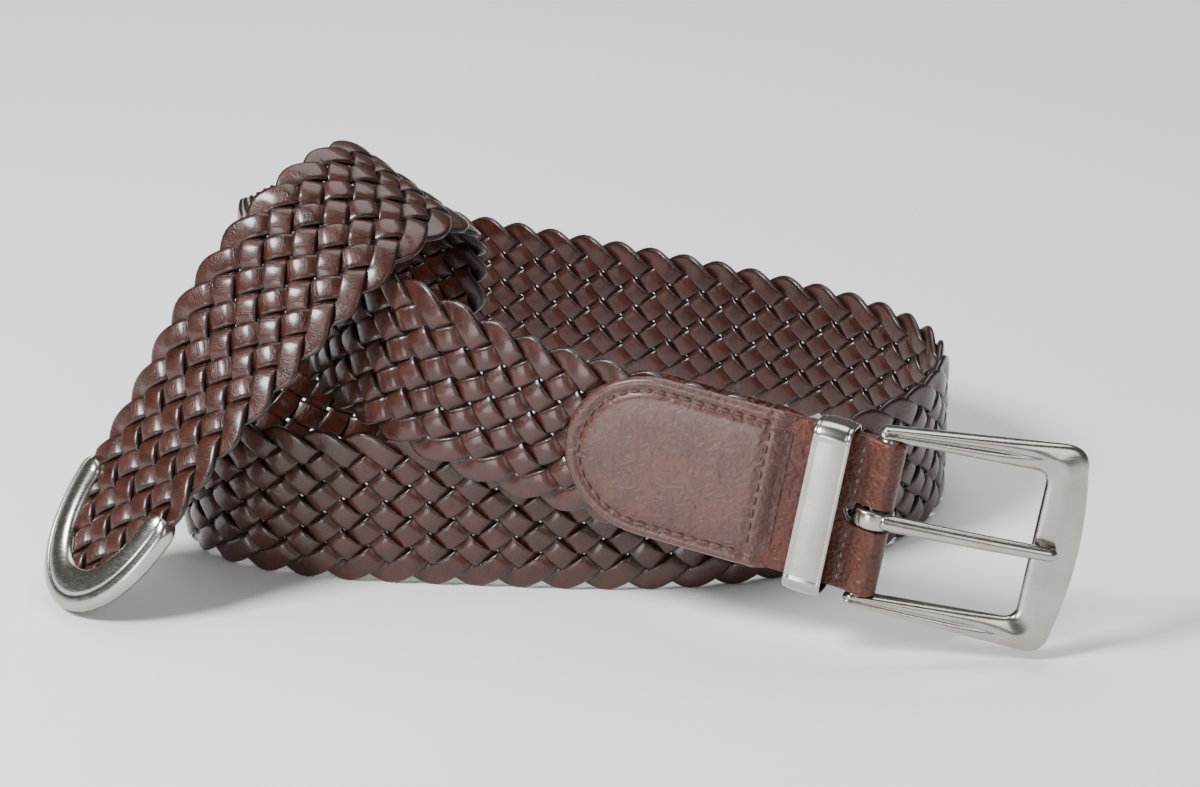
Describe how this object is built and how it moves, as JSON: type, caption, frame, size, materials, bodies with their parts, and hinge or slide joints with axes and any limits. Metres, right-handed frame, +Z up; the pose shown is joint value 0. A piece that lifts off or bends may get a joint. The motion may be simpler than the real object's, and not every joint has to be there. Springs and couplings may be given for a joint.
{
  "type": "braided leather belt",
  "caption": "Braided leather belt lying loosely coiled, with a flared metal buckle and prong, a metal keeper, a stitched leather tab and a rounded metal tip.",
  "frame": {"origin": "on the table, under the middle of the belt's bounding box", "axes": "+Z up; +X towards the buckle; the picture looks along +Y from in front and 22 degrees above"},
  "size_m": [0.2264, 0.2044, 0.0917],
  "materials": {
    "braid_leather": "dark reddish brown braided leather, satin",
    "tab_leather": "dark brown pebbled leather with tone-on-tone stitching",
    "metal": "warm satin nickel"
  },
  "bodies": {
    "strap": {"braid": "braid_leather", "tab": "tab_leather", "keeper": "metal", "tip": "metal"},
    "buckle": {"buckle_frame": "metal"},
    "prong": {"prong": "metal"}
  },
  "joints": [
    {"name": "frame_hinge", "type": "hinge", "parent": "strap", "child": "buckle", "pos_m": [0.06803, -0.09536, 0.03203], "axis": [-0.1855, -0.0813, -0.9793], "range_deg": [-45, 30]},
    {"name": "prong_hinge", "type": "hinge", "parent": "buckle", "child": "prong", "pos_m": [0.06803, -0.09536, 0.03203], "axis": [-0.1855, -0.0813, -0.9793], "range_deg": [0, 85]}
  ]
}
